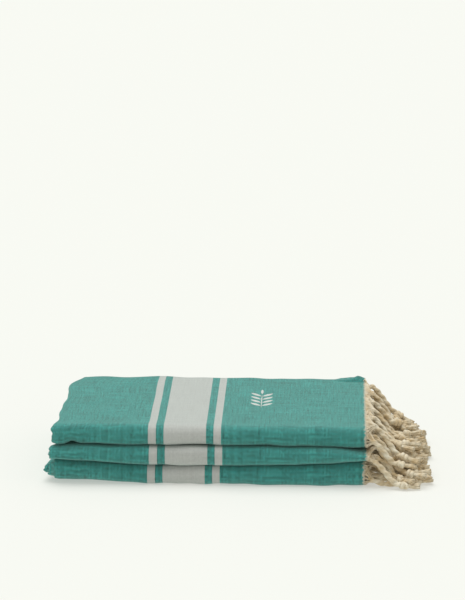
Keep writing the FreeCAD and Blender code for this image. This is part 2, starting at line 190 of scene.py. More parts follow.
def settled(level, x, y, z):
    """Where a point of the evenly folded towel lies once the stack has settled.

    The front fold is squared off by a superellipse: a point's reach from the fold's line is
    multiplied by its length over the FOLD_POWER root of the powers of its two parts. The left
    end flares at the front, and its outline has a slow unrest. The top towel's left back corner
    is pulled in, and its right one turns up behind a crease, over a selvedge that curls. The
    middle towel is pinched at its right end. Gaps open under the front of the upper two towels.
    Heights are shared out between the two seams.
    """
    past = np.minimum(y - Y_FRONT, 0)
    rise = z - HALF_HEIGHT
    away = np.hypot(past, rise)
    squared = (np.abs(past) ** FOLD_POWER + np.abs(rise) ** FOLD_POWER) ** (1 / FOLD_POWER)
    squarer = np.where(past < 0, away / np.maximum(squared, 1e-9), 1)
    y = y - past + past * squarer
    rise = rise * squarer

    outer = np.clip(away / OUTER_FOLD, 0, 1)
    slide = LEFT_SHIFT + (FRONT_SHIFT[level] - LEFT_SHIFT) * ramp(-y, 0.100, 0.126)
    leaning = 0.75 + 0.25 * ramp(-rise, -0.006, 0.012)
    slide += INNER_SHIFT[level] * (1 - outer**4) * leaning * ramp(-y, 0.05, 0.11)
    slide += LEFT_UNREST * waves(y, rise * 5, 0.035, 60 + level)
    if level == 2:
        side_hollow, side_swell = swell(y, 0.012, 0.035), swell(y, -0.048, 0.03)
        slide += 0.0033 * side_hollow - 0.0029 * side_swell
        slide += CORNER_IN * ramp(y, 0.078, 0.119)
    x = x + slide * ramp(-x, 0.06, 0.225)
    y = y + BACK_UNREST * ramp(y, 0.02, 0.118) * waves(x, rise * 6, 0.11, 70 + level)
    y = y + FRONT_UNREST * ramp(-y, 0.08, 0.125) * waves(x, rise * 3, 0.12, 80 + level)

    low = seam_height(level, x, y) + (STACK_GAP / 2 if level else 0)
    high = seam_height(level + 1, x, y) - STACK_GAP / 2
    if level == 2:
        front_notch = 0.0046 * swell(x, -0.208, 0.008) * ramp(-y, 0.10, 0.125)
        front_gap = 0.0012 * ramp(-x, -0.10, 0.05) * ramp(-y, 0.05, 0.12)
        low = low + front_notch + front_gap
        curled = swell(rise, PACKET_PITCH / 2, 0.004) * ramp(x, 0.155, 0.20)
        high = high + SELVEDGE_UP * curled * ramp(y, 0.114, 0.128)
        y = y + SELVEDGE_BACK * curled * ramp(y, 0.1, 0.124)
        upper = ramp(rise, 0, HALF_HEIGHT)
        corner = np.exp(-np.abs(x - 0.214) / 0.014) * ramp(y, 0.104, 0.110)
        crease = ramp(x, 0.17, 0.20) * swell(y, 0.1035, 0.0025)
        high = high + (CORNER_UP * corner - CREASE_DEPTH * crease) * upper
    if level == 1:
        pinched = swell(x, X_END + 0.008, 0.034) * ramp(-y, 0.04, 0.12)
        front_gap = 0.0008 * ramp(-y, 0.05, 0.12)
        low = low + PINCH_BELOW * pinched + front_gap
        high = high - PINCH_ABOVE * pinched
    share = (rise + HALF_HEIGHT) / TOWEL_HEIGHT
    right, back = TOWEL_OFFSETS[level]
    return np.stack([x + right, y + back, low + share * (high - low)], -1)


SLACK, SLACK_SPAN = 0.00022, 0.045  # how far the cloth lies off its even folds, and how often
FRONT_SLACK, FRONT_SLACK_SPAN = 0.0007, 0.05  # more of the same along the front fold


def on_towel(level, u, v, lift=0.0):
    """The place in the stack of a point u across and v along the flat sheet, lifted off the
    sheet's middle by lift. The sheet follows LENGTH_WAY, and all of that WIDTH_WAY."""
    x, off, heading = way(LENGTH_WAY, LENGTH_START, v)
    lift = lift + SLACK * waves(u, v, SLACK_SPAN, 20 + level)
    front = swell(u, TOP_RUN + math.pi * OUTER_FOLD / 2, 0.024) * (v < LENGTH_RUN)
    ridges = 1 + waves(u * 0.35, v, FRONT_SLACK_SPAN, 30 + level)
    lift = lift + FRONT_SLACK * front * ridges
    x = x + lift * np.sin(heading)
    off = off - lift * np.cos(heading)
    y, z, heading = way(WIDTH_WAY, WIDTH_START, u)
    return settled(level, x, y + off * np.sin(heading), z - off * np.cos(heading))


def stations(parts, steps):
    """Distances along a path: each part is divided evenly into its own number of steps."""
    marks, done = [np.zeros(1)], 0.0
    for (length, _), count in zip(parts, steps):
        marks.append(done + length * np.arange(1, count + 1) / count)
        done += length
    return np.concatenate(marks)


def quad_mesh(name, points, quads, flat_places):
    """A smooth mesh of four-cornered faces, with a UV place for every corner."""
    mesh = bpy.data.meshes.new(name)
    mesh.vertices.add(len(points))
    mesh.vertices.foreach_set("co", np.ascontiguousarray(points, np.float32).ravel())
    mesh.loops.add(quads.size)
    mesh.loops.foreach_set("vertex_index", quads.astype(np.int32).ravel())
    mesh.polygons.add(len(quads))
    mesh.polygons.foreach_set("loop_start", np.arange(0, quads.size, 4, dtype=np.int32))
    mesh.polygons.foreach_set("use_smooth", np.ones(len(quads), bool))
    layer = mesh.uv_layers.new(name="flat")
    layer.data.foreach_set("uv", np.ascontiguousarray(flat_places, np.float32).ravel())
    mesh.update()
    mesh.validate()
    piece = bpy.data.objects.new(name, mesh)
    bpy.context.collection.objects.link(piece)
    return piece


def grid_quads(rows, columns):
    """The corners of each cell of a rows by columns grid of points, numbered by rows."""
    corner = (np.arange(rows - 1)[:, None] * columns + np.arange(columns - 1)).ravel()
    return np.stack([corner, corner + 1, corner + columns + 1, corner + columns], 1)


def add_node(tree, kind, sockets=None, out=0, **settings):
    """Adds a node with its settings, and its sockets set or linked, and returns an output."""
    node = tree.nodes.new(kind)
    for name, value in settings.items():
        setattr(node, name, value)
    for key, value in (sockets or {}).items():
        if isinstance(value, bpy.types.NodeSocket):
            tree.links.new(value, node.inputs[key])
        else:
            node.inputs[key].default_value = value
    return node.outputs[out]


def linear(code):
    """An sRGB hex colour as linear light."""
    parts = [int(code[k : k + 2], 16) / 255 for k in (1, 3, 5)]
    light = [p / 12.92 if p <= 0.04045 else ((p + 0.055) / 1.055) ** 2.4 for p in parts]
    return (*light, 1.0)


# Plain-woven carded cotton. The undyed warp shows between the teal weft yarns as pale
# specks, slubs in both yarns cross as faint streaks, and loose fibres give a dry sheen.
TEAL_WEFT = linear("#208a85")
TEAL_DEEP = linear("#147a74")
PALE_WEFT = linear("#b9bab7")
UNDYED_WARP = linear("#bdb7a4")
FIBRE_SHEEN = linear("#d8f8ee")
YARN_SPACING = 0.0014  # the real 0.6 mm is too fine to show
BAND_START = 0.213  # from the cloth's end
BAND_STRIPES = ((0.0, 0.011), (0.022, 0.062), (0.095, 0.011))  # start and width of each
WEFT_SLUB, WARP_SLUB = (0.045, 0.0020), (0.0022, 0.05)  # sizes across and along the sheet
FLECK, CLOUD = (0.0030, 0.0026), (0.07, 0.07)
FLECK_SHARE = 1.2  # against the slubs
NOISE_MEAN = 1.6  # of the flecks and both kinds of slub together
TEAL_UNEVEN, PALE_UNEVEN = 1.30, 0.20  # how strongly the yarns' unevenness shows
FRAYED_EDGE = 0.0034  # roughly how far back the bare warp reaches
FRAYED_TEETH = (1 / 420, 1 / 60)  # size of its unevenness, across and along
WEAVE_RELIEF = 0.0004


def woven_cotton():
    material = bpy.data.materials.new("plain_woven_cotton")
    material.use_nodes = True
    tree = material.node_tree
    shader = tree.nodes["Principled BSDF"]
    place = add_node(tree, "ShaderNodeUVMap", uv_map="flat")
    across = add_node(tree, "ShaderNodeSeparateXYZ", {0: place})
    along = across.node.outputs[1]

    from_middle = add_node(
        tree, "ShaderNodeMath", {0: along, 1: CLOTH_LENGTH / 2}, operation="SUBTRACT"
    )
    from_middle = add_node(tree, "ShaderNodeMath", {0: from_middle}, operation="ABSOLUTE")
    from_end = add_node(
        tree, "ShaderNodeMath", {0: CLOTH_LENGTH / 2, 1: from_middle}, operation="SUBTRACT"
    )
    pale = 0.0
    for start, width in BAND_STRIPES:
        stripe = {0: from_end, 1: BAND_START + start + width / 2, 2: width / 2}
        inside = add_node(tree, "ShaderNodeMath", stripe, operation="COMPARE")
        pale = add_node(tree, "ShaderNodeMath", {0: inside, 1: pale}, operation="ADD")

    def streaks(size, detail, roughness=0.55):
        """Noise drawn out over a size across and along the flat sheet."""
        scaled = add_node(
            tree, "ShaderNodeMapping", {0: place, 3: (1 / size[0], 1 / size[1], 1)}
        )
        look = {"Vector": scaled, "Scale": 1.0, "Detail": detail, "Roughness": roughness}
        return add_node(tree, "ShaderNodeTexNoise", look)

    slubs = add_node(
        tree,
        "ShaderNodeMath",
        {0: streaks(WEFT_SLUB, 2.0), 1: streaks(WARP_SLUB, 2.0)},
        operation="ADD",
    )
    flecks = add_node(
        tree,
        "ShaderNodeMath",
        {0: streaks(FLECK, 1.0), 1: FLECK_SHARE, 2: slubs},
        operation="MULTIPLY_ADD",
    )
    uneven = add_node(tree, "ShaderNodeMath", {0: flecks, 1: NOISE_MEAN}, operation="SUBTRACT")

    turns = []
    for run in (across, along):
        scaled = add_node(
            tree, "ShaderNodeMath", {0: run, 1: math.pi / YARN_SPACING}, operation="MULTIPLY"
        )
        turns.append(add_node(tree, "ShaderNodeMath", {0: scaled}, operation="SINE"))
    over = add_node(tree, "ShaderNodeMath", {0: turns[0], 1: turns[1]}, operation="MULTIPLY")
    warp_shows = add_node(
        tree,
        "ShaderNodeMapRange",
        {"Value": over, "From Min": 0.35, "From Max": 0.75, "To Max": 0.30},
    )

    clouds = {0: streaks(CLOUD, 3.0), 6: TEAL_DEEP, 7: TEAL_WEFT}
    body = add_node(tree, "ShaderNodeMix", clouds, out=2, data_type="RGBA")
    stripes = {0: pale, 6: body, 7: PALE_WEFT}
    weft = add_node(tree, "ShaderNodeMix", stripes, out=2, data_type="RGBA")
    specks = {0: warp_shows, 6: weft, 7: UNDYED_WARP}
    cloth = add_node(tree, "ShaderNodeMix", specks, out=2, data_type="RGBA")
    contrast = add_node(
        tree,
        "ShaderNodeMath",
        {0: pale, 1: PALE_UNEVEN - TEAL_UNEVEN, 2: TEAL_UNEVEN},
        operation="MULTIPLY_ADD",
    )
    lightness = add_node(
        tree, "ShaderNodeMath", {0: uneven, 1: contrast, 2: 1.0}, operation="MULTIPLY_ADD"
    )
    cloth = add_node(tree, "ShaderNodeVectorMath", {0: cloth, 3: lightness}, operation="SCALE")

    edge = add_node(
        tree,
        "ShaderNodeMath",
        {0: streaks(FRAYED_TEETH, 1.0, 0.5), 1: 2.6 * FRAYED_EDGE, 2: -0.5 * FRAYED_EDGE},
        operation="MULTIPLY_ADD",
    )
    frayed = add_node(tree, "ShaderNodeMath", {0: from_end, 1: edge}, operation="LESS_THAN")
    bare_ends = {0: frayed, 6: cloth, 7: UNDYED_WARP}
    cloth = add_node(tree, "ShaderNodeMix", bare_ends, out=2, data_type="RGBA")
    tree.links.new(cloth, shader.inputs["Base Color"])

    relief = add_node(tree, "ShaderNodeMath", {0: over}, operation="ABSOLUTE")
    relief = add_node(
        tree, "ShaderNodeMath", {0: slubs, 1: 0.8, 2: relief}, operation="MULTIPLY_ADD"
    )
    raised = {"Strength": 0.55, "Distance": WEAVE_RELIEF, "Height": relief}
    tree.links.new(add_node(tree, "ShaderNodeBump", raised), shader.inputs["Normal"])
    shader.inputs["Roughness"].default_value = 0.88
    shader.inputs["Specular IOR Level"].default_value = 0.25
    shader.inputs["Sheen Weight"].default_value = 0.36
    shader.inputs["Sheen Roughness"].default_value = 0.65
    shader.inputs["Sheen Tint"].default_value = FIBRE_SHEEN
    return material


WIDTH_STEPS = (60, 16, 26, 8, 24, 8, 26)  # mesh cells along each part of WIDTH_WAY
LENGTH_STEPS = (112, 8, 28, 5, 26, 5, 28)  # the same for LENGTH_WAY, most where it shows
cloth_cotton = woven_cotton()
for level, towel in enumerate(TOWELS):
    u, v = np.meshgrid(
        stations(WIDTH_WAY, WIDTH_STEPS), stations(LENGTH_WAY, LENGTH_STEPS), indexing="ij"
    )
    quads = grid_quads(*u.shape)
    flat_places = np.stack([u.ravel(), v.ravel()], 1)[quads]
    cloth = quad_mesh(
        f"{towel}_cloth", on_towel(level, u, v).reshape(-1, 3), quads, flat_places
    )
    cloth.data.materials.append(cloth_cotton)
    wall = cloth.modifiers.new("cloth_thickness", "SOLIDIFY")
    wall.thickness = CLOTH_THICK
    wall.offset = 0
    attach(cloth, f"{towel}_towel")
    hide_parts(f"{towel}_towel_cloth")

# ---- The embroidered sprigs ------------------------------------------------------------
# A leafy sprig in white cotton satin stitch on each towel, near its fringed end. The stitches
# lie side by side across each leaf and stand a little proud of the cloth.

SPRIG_FROM_END = 0.157
SPRIG_FROM_FRONT = 0.126
SPRIG_LENGTH = 0.088
LEAF_LENGTH = 0.021
LEAF_WIDTH = 0.0065
BUD_WIDTH = 0.0042
STEM_LENGTH = SPRIG_LENGTH - LEAF_LENGTH
LEAF_TILT = math.radians(48)
LEAF_PAIRS = 4
STEM_WIDTH = 0.0018
STITCH_HEIGHT = 0.0007
STITCH_SPACING = 0.0009  # the real 0.4 mm is too fine to show
# The groove colour is painted shade between the stitches, and the crest colour is the white
# thread.
STITCH_GROOVE_SHADE, STITCH_CREST = linear("#b9c6c0"), linear("#e6e9e4")


def satin_pad(root, tilt, length, width, points=17):
    """A stitched pad as places on the sheet (right, back, height), closed underneath, with each
    point's places along and across the stitches.

    Its outline is width times a power of the sine of the way along it, and its height follows
    the half circle across it. The pad is turned by tilt about its root.
    """
    along, around = np.meshgrid(
        np.linspace(0.02, 0.98, 2 * points), np.linspace(0, 2 * math.pi, points), indexing="ij"
    )
    half = width / 2 * np.sin(math.pi * along) ** 0.8
    right = half * np.cos(around)
    height = STITCH_HEIGHT * np.maximum(np.sin(around), -0.5) * np.sin(math.pi * along) ** 0.4
    back = length * along
    turned_right = right * math.cos(tilt) + back * math.sin(tilt)
    turned_back = back * math.cos(tilt) - right * math.sin(tilt)
    return root[0] + turned_right, root[1] + turned_back, height, back, right


def stitched_cotton():
    """White satin stitch: smooth mercerised thread in fine ridges, with painted shade in their
    grooves.
    """
    material = bpy.data.materials.new("satin_stitch_cotton")
    material.use_nodes = True
    tree = material.node_tree
    shader = tree.nodes["Principled BSDF"]
    place = add_node(tree, "ShaderNodeUVMap", uv_map="flat")
    along = add_node(tree, "ShaderNodeSeparateXYZ", {0: place}).node.outputs[1]
    scaled = add_node(
        tree, "ShaderNodeMath", {0: along, 1: 2 * math.pi / STITCH_SPACING}, operation="MULTIPLY"
    )
    ridge = add_node(tree, "ShaderNodeMath", {0: scaled}, operation="SINE")
    shade = add_node(
        tree, "ShaderNodeMapRange", {"Value": ridge, "From Min": -1.0, "From Max": 1.0}
    )
    # Painted shade: the thread's colour darkens into the grooves between stitches.
    colours = {0: shade, 6: STITCH_GROOVE_SHADE, 7: STITCH_CREST}
    colour = add_node(tree, "ShaderNodeMix", colours, out=2, data_type="RGBA")
    tree.links.new(colour, shader.inputs["Base Color"])
    bump = add_node(
        tree, "ShaderNodeBump", {"Strength": 0.5, "Distance": 0.0003, "Height": ridge}
    )
    tree.links.new(bump, shader.inputs["Normal"])
    shader.inputs["Roughness"].default_value = 0.5
    return material


stitch_cotton = stitched_cotton()
pads = [satin_pad((0, 0), 0, STEM_LENGTH, STEM_WIDTH)]
pads.append(satin_pad((0, STEM_LENGTH), 0, LEAF_LENGTH, BUD_WIDTH))
for pair in range(LEAF_PAIRS):
    height = STEM_LENGTH * (pair + 0.7) / (LEAF_PAIRS + 0.4)
    for side in (-1, 1):
        root = (side * STEM_WIDTH / 2, height)
        pads.append(satin_pad(root, side * LEAF_TILT, LEAF_LENGTH, LEAF_WIDTH))
right, back, height, stitch_along, stitch_across = (
    np.stack([pad[k] for pad in pads]) for k in range(5)
)
for level, towel in enumerate(TOWELS):
    v = SPRIG_FROM_END - right
    u = TOP_RUN - (SPRIG_FROM_FRONT - SPRIG_LENGTH / 2 + back)
    points = on_towel(level, u, v, CLOTH_THICK / 2 + height)
    rows, columns = points.shape[1:3]
    first_corner = np.arange(len(pads))[:, None, None] * rows * columns
    quads = (grid_quads(rows, columns) + first_corner).reshape(-1, 4)
    flat_places = np.stack([stitch_across.ravel(), stitch_along.ravel()], 1)[quads]
    sprig = quad_mesh(f"{towel}_sprig", points.reshape(-1, 3), quads, flat_places)
    sprig.data.materials.append(stitch_cotton)
    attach(sprig, f"{towel}_towel")
    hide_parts(f"{towel}_towel_embroidery")

# ---- How the tassels lie ---------------------------------------------------------------
# Each end of the cloth runs on as its own warp, twisted by hand into limp two-ply cords that
# end in a knot and a tuft. They droop over the towels below and lie on each other in a pile.

HEADING_LENGTH = 0.008
TASSELS_PER_END = 12
CORD_DIAMETER = 0.008
CORD_ROOT_DIAMETER = 0.0065
CORD_GATHER = 0.018  # the root's narrowing is over by here
CORD_LENGTH = 0.057
LENGTH_SPREAD = 0.014
KNOT_DIAMETER = 0.0135
KNOT_LENGTH = 0.014
KNOT_SHOULDER = 0.003
TUFT_LENGTH = 0.020
TUFT_NECK_DIAMETER = 0.0065
TUFT_DIAMETER = 0.011
PRESSED_SHARE = 0.62  # of a tassel's thickness, where it is pressed between others
PLAIN_SHARE = 0.5  # of its thickness, for its margin from the towel's upper and lower face
TASSEL_SPACE = 0.0003
BUNCHES = (0.105, 0.030, -0.076)  # how far back each bunch of tassels gathers
BUNCH_DRIFT = -0.010  # a tassel takes the bunch nearest to this far back from its root
BUNCH_REACH = 0.098  # and how far to the right of the roots
BUNCH_PULL = 0.75  # share of the turn towards its bunch that a tassel makes
FAN_BY_LEVEL = 6.0  # degrees more for each towel higher up
FAN_JITTER = 6.0
TIP_SWING, TIP_LEAN = 20.0, 16.0  # degrees that knot and tuft turn aside from their cord
TIP_BEND = 0.006
SLIDE_TURNS = (-24, -18, -12, -6, 0, 6, 12, 18, 24)
SLIDE_COST = 0.0004  # height that a degree of slide has to save
CURL, CURL_LEAN = 19.0, -14.0
CURL_WAVE, CURL_PHASE = 2.6, 0.8
ROOT_TURN = 0.35  # share of its turn that a cord has at its root
FIRST_SCATTER = 95
# Irrational steps, so that the scatters below spread evenly and differ from each other.
TURN_STEP, CURL_STEP, TIP_STEP = 0.6180339, 0.7548777, 0.2360680
PHASE_STEP, LENGTH_STEP = 0.5698403, 0.3819660
TIP_RISE = 0.12  # the steepest that knot and tuft point upwards
LEVEL_START = 0.003  # a cord leaves its heading level for this far
DROOP_RADIUS = 0.016
DROOP_SLOPE = math.radians(70)
TASSEL_STEP = 0.003  # between the points at which a lying tassel is tested
NEARBY = 0.12  # a tassel touches nothing further to the side of its root than this
TRIAL_PASSES, STIFF_PASSES = 4, 30
X_TASSEL = X_END + HEADING_LENGTH
END_LAYERS = {"a": WIDE_BEND, "b": NARROW_BEND}
ROOT_SHIFTS = {"a": 0.5, "b": 1.0}  # in tassel spacings, from the sheet's edge to the first
# The side of the pad from which the tassels along each part of WIDTH_WAY start.
SIDES = ("top", "front", "bottom", "bottom", "middle", "middle", "middle")


def tassel_roots():
    """Every tassel of one towel: (end, quarter, place across the sheet, y, z of its root).

    Tassels that start from the same side of the pad push each other to even spaces.
    """
    spacing = CLOTH_WIDTH / TASSELS_PER_END
    margin = CORD_DIAMETER / 2 * PLAIN_SHARE + STACK_GAP / 4
    edges = np.cumsum([length for length, _ in WIDTH_WAY])
    rows = {"bottom": [], "front": [], "middle": [], "top": []}
    for end, off in END_LAYERS.items():
        for j in range(TASSELS_PER_END):
            along = ((j + ROOT_SHIFTS[end]) * spacing) % CLOTH_WIDTH
            quarter = 1 + int(along * 4 / CLOTH_WIDTH)
            y, z, heading = way(WIDTH_WAY, WIDTH_START, np.array(along))
            z = float(z - off * np.cos(heading))
            z = min(max(z, margin), TOWEL_HEIGHT - margin)
            side = SIDES[int(np.searchsorted(edges, along))]
            rows[side].append([end, quarter, along, float(y + off * np.sin(heading)), z])
    for row in ("bottom", "middle", "top"):
        rows[row].sort(key=lambda tassel: tassel[3])
        for rank, tassel in enumerate(rows[row]):
            tassel[3] = Y_FRONT + (rank + 0.5) / len(rows[row]) * TOP_RUN
    return rows["bottom"] + rows["front"] + rows["middle"] + rows["top"]


def scatter(number, step):
    """An even scatter from -1 to 1 for whole numbers: the fraction of number times step."""
    return 2 * ((number * step) % 1.0) - 1


def pressed_radius(along, cord):
    """A tassel's half thickness under pressure, for a cord of that length before the knot."""
    marks = [0, CORD_GATHER, cord, cord + KNOT_SHOULDER, cord + KNOT_LENGTH - KNOT_SHOULDER]
    marks += [cord + KNOT_LENGTH, cord + KNOT_LENGTH + TUFT_LENGTH]
    sizes = [CORD_ROOT_DIAMETER, CORD_DIAMETER, CORD_DIAMETER, KNOT_DIAMETER]
    sizes += [KNOT_DIAMETER, TUFT_NECK_DIAMETER, TUFT_DIAMETER]
    return np.interp(along, marks, sizes) / 2 * PRESSED_SHARE


def free_drop(level):
    """How far a cord has dropped: round a bend of DROOP_RADIUS, then down a steady slope."""
    level = np.maximum(level, 0)
    bend_end = DROOP_RADIUS * math.sin(DROOP_SLOPE)
    bent = np.minimum(level, bend_end)
    rounded = DROOP_RADIUS - np.sqrt(DROOP_RADIUS**2 - bent**2)
    return rounded + np.maximum(level - bend_end, 0) * math.tan(DROOP_SLOPE)


def lie_down(root, turn, curl, phase, cord, tip, lying, smoothing):
    """The points of one tassel as it lies on the floor and on the tassels below it, and how far
    along it they are.

    Two round cords touch where their centres are the sum of their radii apart, so each point
    is at least that far above every point that already lies there. Repeated means of each
    point and its neighbours stand for the cord's stiffness. The knot and tuft stay straight.
    """
    whole = cord + KNOT_LENGTH + TUFT_LENGTH
    count = int(whole / TASSEL_STEP + 1e-9) + 2
    level = np.arange(count) * TASSEL_STEP
    bent = np.minimum(level, cord)
    angle = turn + curl * np.sin(CURL_WAVE * bent / whole + phase)
    angle = angle + tip * np.clip((level - cord) / TIP_BEND + 1, 0, 1)
    angle = np.radians(angle * np.minimum(1, ROOT_TURN + bent / CORD_GATHER))[:-1]
    x = root[0] + np.append(0, np.cumsum(np.cos(angle) * TASSEL_STEP))
    y = root[1] + np.append(0, np.cumsum(np.sin(angle) * TASSEL_STEP))
    free = root[2] - free_drop(level - LEVEL_START)
    held = int(LEVEL_START / TASSEL_STEP + 1e-9) + 1
    along = level
    for _ in range(2):
        radius = pressed_radius(along, cord)
        lowest = radius.copy()
        if len(lying):
            reach = radius[:, None] + lying[:, 3] + TASSEL_SPACE
            apart = (x[:, None] - lying[:, 0]) ** 2 + (y[:, None] - lying[:, 1]) ** 2
            over = lying[:, 2] + np.sqrt(np.maximum(reach**2 - apart, 0))
            lowest = np.maximum(lowest, np.where(apart < reach**2, over, 0).max(1))
        z = np.where(np.arange(count) < held, root[2], np.maximum(free, lowest))
        for _ in range(smoothing):
            mean = (z[:-2] + 2 * z[1:-1] + z[2:]) / 4
            z[held:-1] = np.maximum(mean, lowest[1:-1])[held - 1 :]
        knot = int(np.flatnonzero(along <= cord)[-1])
        ahead = np.arange(count - knot)
        slope = ((lowest[knot + 1 :] - z[knot]) / ahead[1:]).max()
        slope = max(-TASSEL_STEP, min(TIP_RISE * TASSEL_STEP, slope))
        raised = (lowest[knot:] - z[knot] - slope * ahead).max()
        steps = np.arange(held, knot)
        z[held:knot] += raised * ((steps - held) / (knot - held)) ** 2
        z[knot:] = z[knot] + raised + slope * ahead
        along = np.append(0, np.cumsum(np.hypot(TASSEL_STEP, np.diff(z))))
    marks = np.append(np.arange(int(whole / TASSEL_STEP + 1e-9) + 1) * TASSEL_STEP, whole)
    line = np.stack([np.interp(marks, along, c) for c in (x, y, z)], 1)
    return line, marks


def lay_tassel(root, turn, number, lying):
    """One tassel that has rolled aside to whichever of SLIDE_TURNS lets it lie lowest: its
    points, how far along it they are, and its cord's length."""
    turn += FAN_JITTER * scatter(number, TURN_STEP)
    curl = CURL * scatter(number, CURL_STEP) + CURL_LEAN
    tip = TIP_SWING * scatter(number, TIP_STEP) + TIP_LEAN
    phase = CURL_PHASE * scatter(number, PHASE_STEP)
    cord = CORD_LENGTH + LENGTH_SPREAD / 2 * scatter(number, LENGTH_STEP)
    near = lying[np.abs(lying[:, 1] - root[1]) < NEARBY]
    costs = []
    for slide in SLIDE_TURNS:
        line, marks = lie_down(root, turn + slide, curl, phase, cord, tip, near, TRIAL_PASSES)
        costs.append(line[marks > cord, 2].mean() + SLIDE_COST * abs(slide))
    turn += SLIDE_TURNS[int(np.argmin(costs))]
    line, marks = lie_down(root, turn, curl, phase, cord, tip, near, STIFF_PASSES)
    return line, marks, cord


lying = np.zeros((0, 4))
laid = []
number = FIRST_SCATTER
for level, towel in enumerate(TOWELS):
    right, back = TOWEL_OFFSETS[level]
    for end, quarter, along, y, z in tassel_roots():
        number += 1
        bunch = min(BUNCHES, key=lambda b: abs(b - y - BUNCH_DRIFT))
        turn = math.degrees(math.atan2(bunch - y, BUNCH_REACH)) * BUNCH_PULL
        turn += FAN_BY_LEVEL * (level - 1)
        root = (X_TASSEL + right, y + back, z + level * STACK_PITCH)
        line, marks, cord = lay_tassel(root, turn, number, lying)
        radius = pressed_radius(marks, cord)
        lying = np.vstack([lying, np.column_stack([line, radius])])
        laid.append((level, end, quarter, along, number, line, marks, cord))

# ---- The tassels -----------------------------------------------------------------------
# Undyed cotton warp, gathered and twisted by hand: two plies laid round each other, an
# overhand knot that stops them coming undone, and the cut yarns splayed below it.

PLY_DIAMETER = 0.0061
PLY_APART, PLY_OPENING = 0.0011, 0.0005  # from the cord's middle: at the root, and added later
ROOT_PLY_SHARE = 0.78  # of a ply's thickness, where it is gathered at its root
PLY_LUMPS, LUMP_SPACING = 0.06, 0.0051  # hand-spun yarn is uneven
CORD_TWIST = 0.032  # length of one full turn of the plies
TWIST_SPREAD = 0.2
PLY_RINGS, PLY_SIDES = 44, 10
KNOT_WIRE = 0.0068  # thickness of the cord pulled tight in the knot
KNOT_COIL = {"turns": 1.8, "radius": 0.0030, "start": 0.0, "wire": KNOT_WIRE, "rings": 26}
KNOT_PASS = {"turns": -0.55, "radius": 0.0037, "start": 2.0, "wire": 0.8 * KNOT_WIRE, "rings": 12}
KNOT_SLANT = 0.0012
TUFT_SPLAY = 0.0125
TUFT_YARNS = 24
TUFT_INSIDE = 0.003  # length of the tuft's yarns inside the knot
YARN_DIAMETER = 0.0027
YARN_SHARES = np.array([0.7, 0.9, 1, 1, 1, 0.96, 0.8])  # of it, from the knot to the cut
YARN_WANDER = 0.0005
CUT_SPREAD = 0.12  # share of its length that the shortest yarn lacks
GOLDEN_ANGLE = 2.39996
YARN_TWIST = 0.008  # length of a yarn's own twist as it shows on the plies
LIMP_HEIGHT = 0.003
PLY_STEP, KNOT_STEP, TUFT_STEP = 0.4142136, 0.2360680, 0.6457513  # for scatter


def tubes(paths, radii, sides):
    """Round tubes along many paths at once: points, faces, and their UV places, which are the
    share of the way round and the metres along.

    Each ring is its path's point plus the radius times the cosine and sine of the angle along
    two directions across the path, which are carried from ring to ring without twisting.
    """
    count, rings = paths.shape[:2]
    tangent = np.gradient(paths, axis=1)
    tangent /= np.linalg.norm(tangent, axis=2, keepdims=True)
    first = np.cross(tangent[:, 0], (0.13, 0.27, 0.95))
    across = np.zeros_like(paths)
    for ring in range(rings):
        first = first - (first * tangent[:, ring]).sum(1, keepdims=True) * tangent[:, ring]
        first /= np.linalg.norm(first, axis=1, keepdims=True)
        across[:, ring] = first
    other = np.cross(tangent, across)
    angle = 2 * math.pi * np.arange(sides) / sides
    spoke = across[:, :, None] * np.cos(angle)[:, None]
    spoke = spoke + other[:, :, None] * np.sin(angle)[:, None]
    radii = np.broadcast_to(radii, (count, rings))
    points = paths[:, :, None] + radii[:, :, None, None] * spoke

    ring, side = np.meshgrid(np.arange(rings - 1), np.arange(sides), indexing="ij")
    after = (side + 1) % sides
    corners = [ring * sides + side, ring * sides + after]
    corners += [(ring + 1) * sides + after, (ring + 1) * sides + side]
    walls = np.stack(corners, -1).reshape(-1, 4)
    cap = np.arange((sides - 2) // 2)
    cap = np.stack([cap, cap + 1, sides - 2 - cap, sides - 1 - cap], 1)
    quads = np.concatenate([walls, cap[:, ::-1], cap + (rings - 1) * sides])
    length = np.zeros((count, rings))
    length[:, 1:] = np.linalg.norm(np.diff(paths, axis=1), axis=2).cumsum(1)
    girth = np.stack([side, side + 1, side + 1, side], -1).reshape(-1, 4)
    girth = np.concatenate([girth, 0 * cap, 0 * cap]) / sides
    flat_places = np.empty((count, len(quads), 4, 2))
    flat_places[..., 0] = girth
    flat_places[..., 1] = length[:, quads // sides]
    quads = quads[None] + (np.arange(count) * rings * sides)[:, None, None]
    return points.reshape(-1, 3), quads.reshape(-1, 4), flat_places.reshape(-1, 2)


def joined(parts):
    """Several sets of points, faces and UV places as one."""
    shift = np.cumsum([0] + [len(points) for points, _, _ in parts])
    points = np.concatenate([part[0] for part in parts])
    quads = np.concatenate([part[1] + start for part, start in zip(parts, shift)])
    return points, quads, np.concatenate([part[2] for part in parts])


def cross_frame(centre):
    """Two directions across each path: one level, and one as upright as the path allows."""
    tangent = np.gradient(centre, axis=1)
    tangent /= np.linalg.norm(tangent, axis=2, keepdims=True)
    level = np.cross(tangent, (0, 0, 1.0))
    level /= np.linalg.norm(level, axis=2, keepdims=True)
    return level, np.cross(level, tangent)


def along_tassel(group, distances):
    """Places along each tassel of a group at its own distances, one row for each tassel."""
    return np.stack(
        [
            np.stack([np.interp(d, marks, line[:, k]) for k in range(3)], -1)
            for (*_, line, marks, _), d in zip(group, distances)
        ]
    )


def around(centre, level, upright, radius, angle):
    """A point at a radius and an angle round a path."""
    turned = np.cos(angle)[..., None] * level + np.sin(angle)[..., None] * upright
    return centre + radius[..., None] * turned


